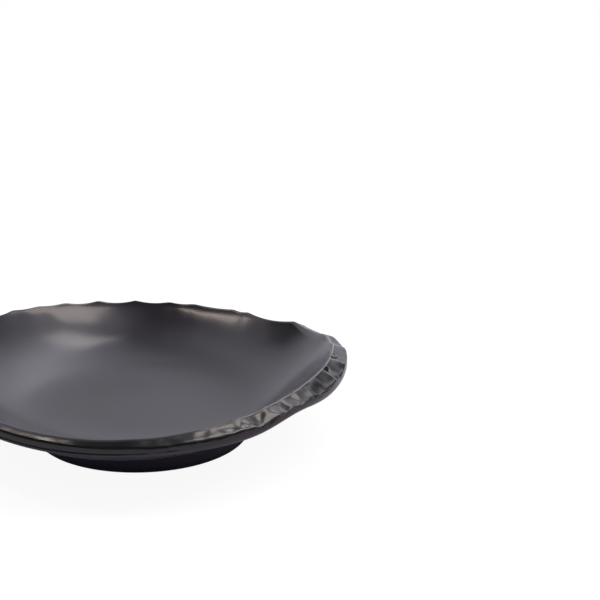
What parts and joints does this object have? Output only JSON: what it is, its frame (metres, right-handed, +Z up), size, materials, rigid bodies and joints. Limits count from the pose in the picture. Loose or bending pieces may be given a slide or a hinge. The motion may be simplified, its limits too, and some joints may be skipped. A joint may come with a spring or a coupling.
{
  "type": "melamine plate",
  "caption": "Deep coupe plate in dark grey melamine with a free-form outline, a satin eating surface, a glossy knapped stone-like rim and a matt black foot ring.",
  "frame": {"origin": "centre of the plate's outline, on the surface that the foot ring stands on", "axes": "+Z up out of the well; the picture looks along +Y from the front, with +X to its right"},
  "size_m": [0.2516, 0.2516, 0.0552],
  "materials": {
    "gloss_melamine": "glossy charcoal melamine with a greige stone mottle on the knapped edge, satin on the outer wall",
    "satin_melamine": "satin dark grey melamine overlay",
    "matt_melamine": "matt black melamine"
  },
  "bodies": {
    "root": {"plate_body": "gloss_melamine", "well_overlay": "satin_melamine", "foot_ring": "matt_melamine"}
  },
  "joints": []
}
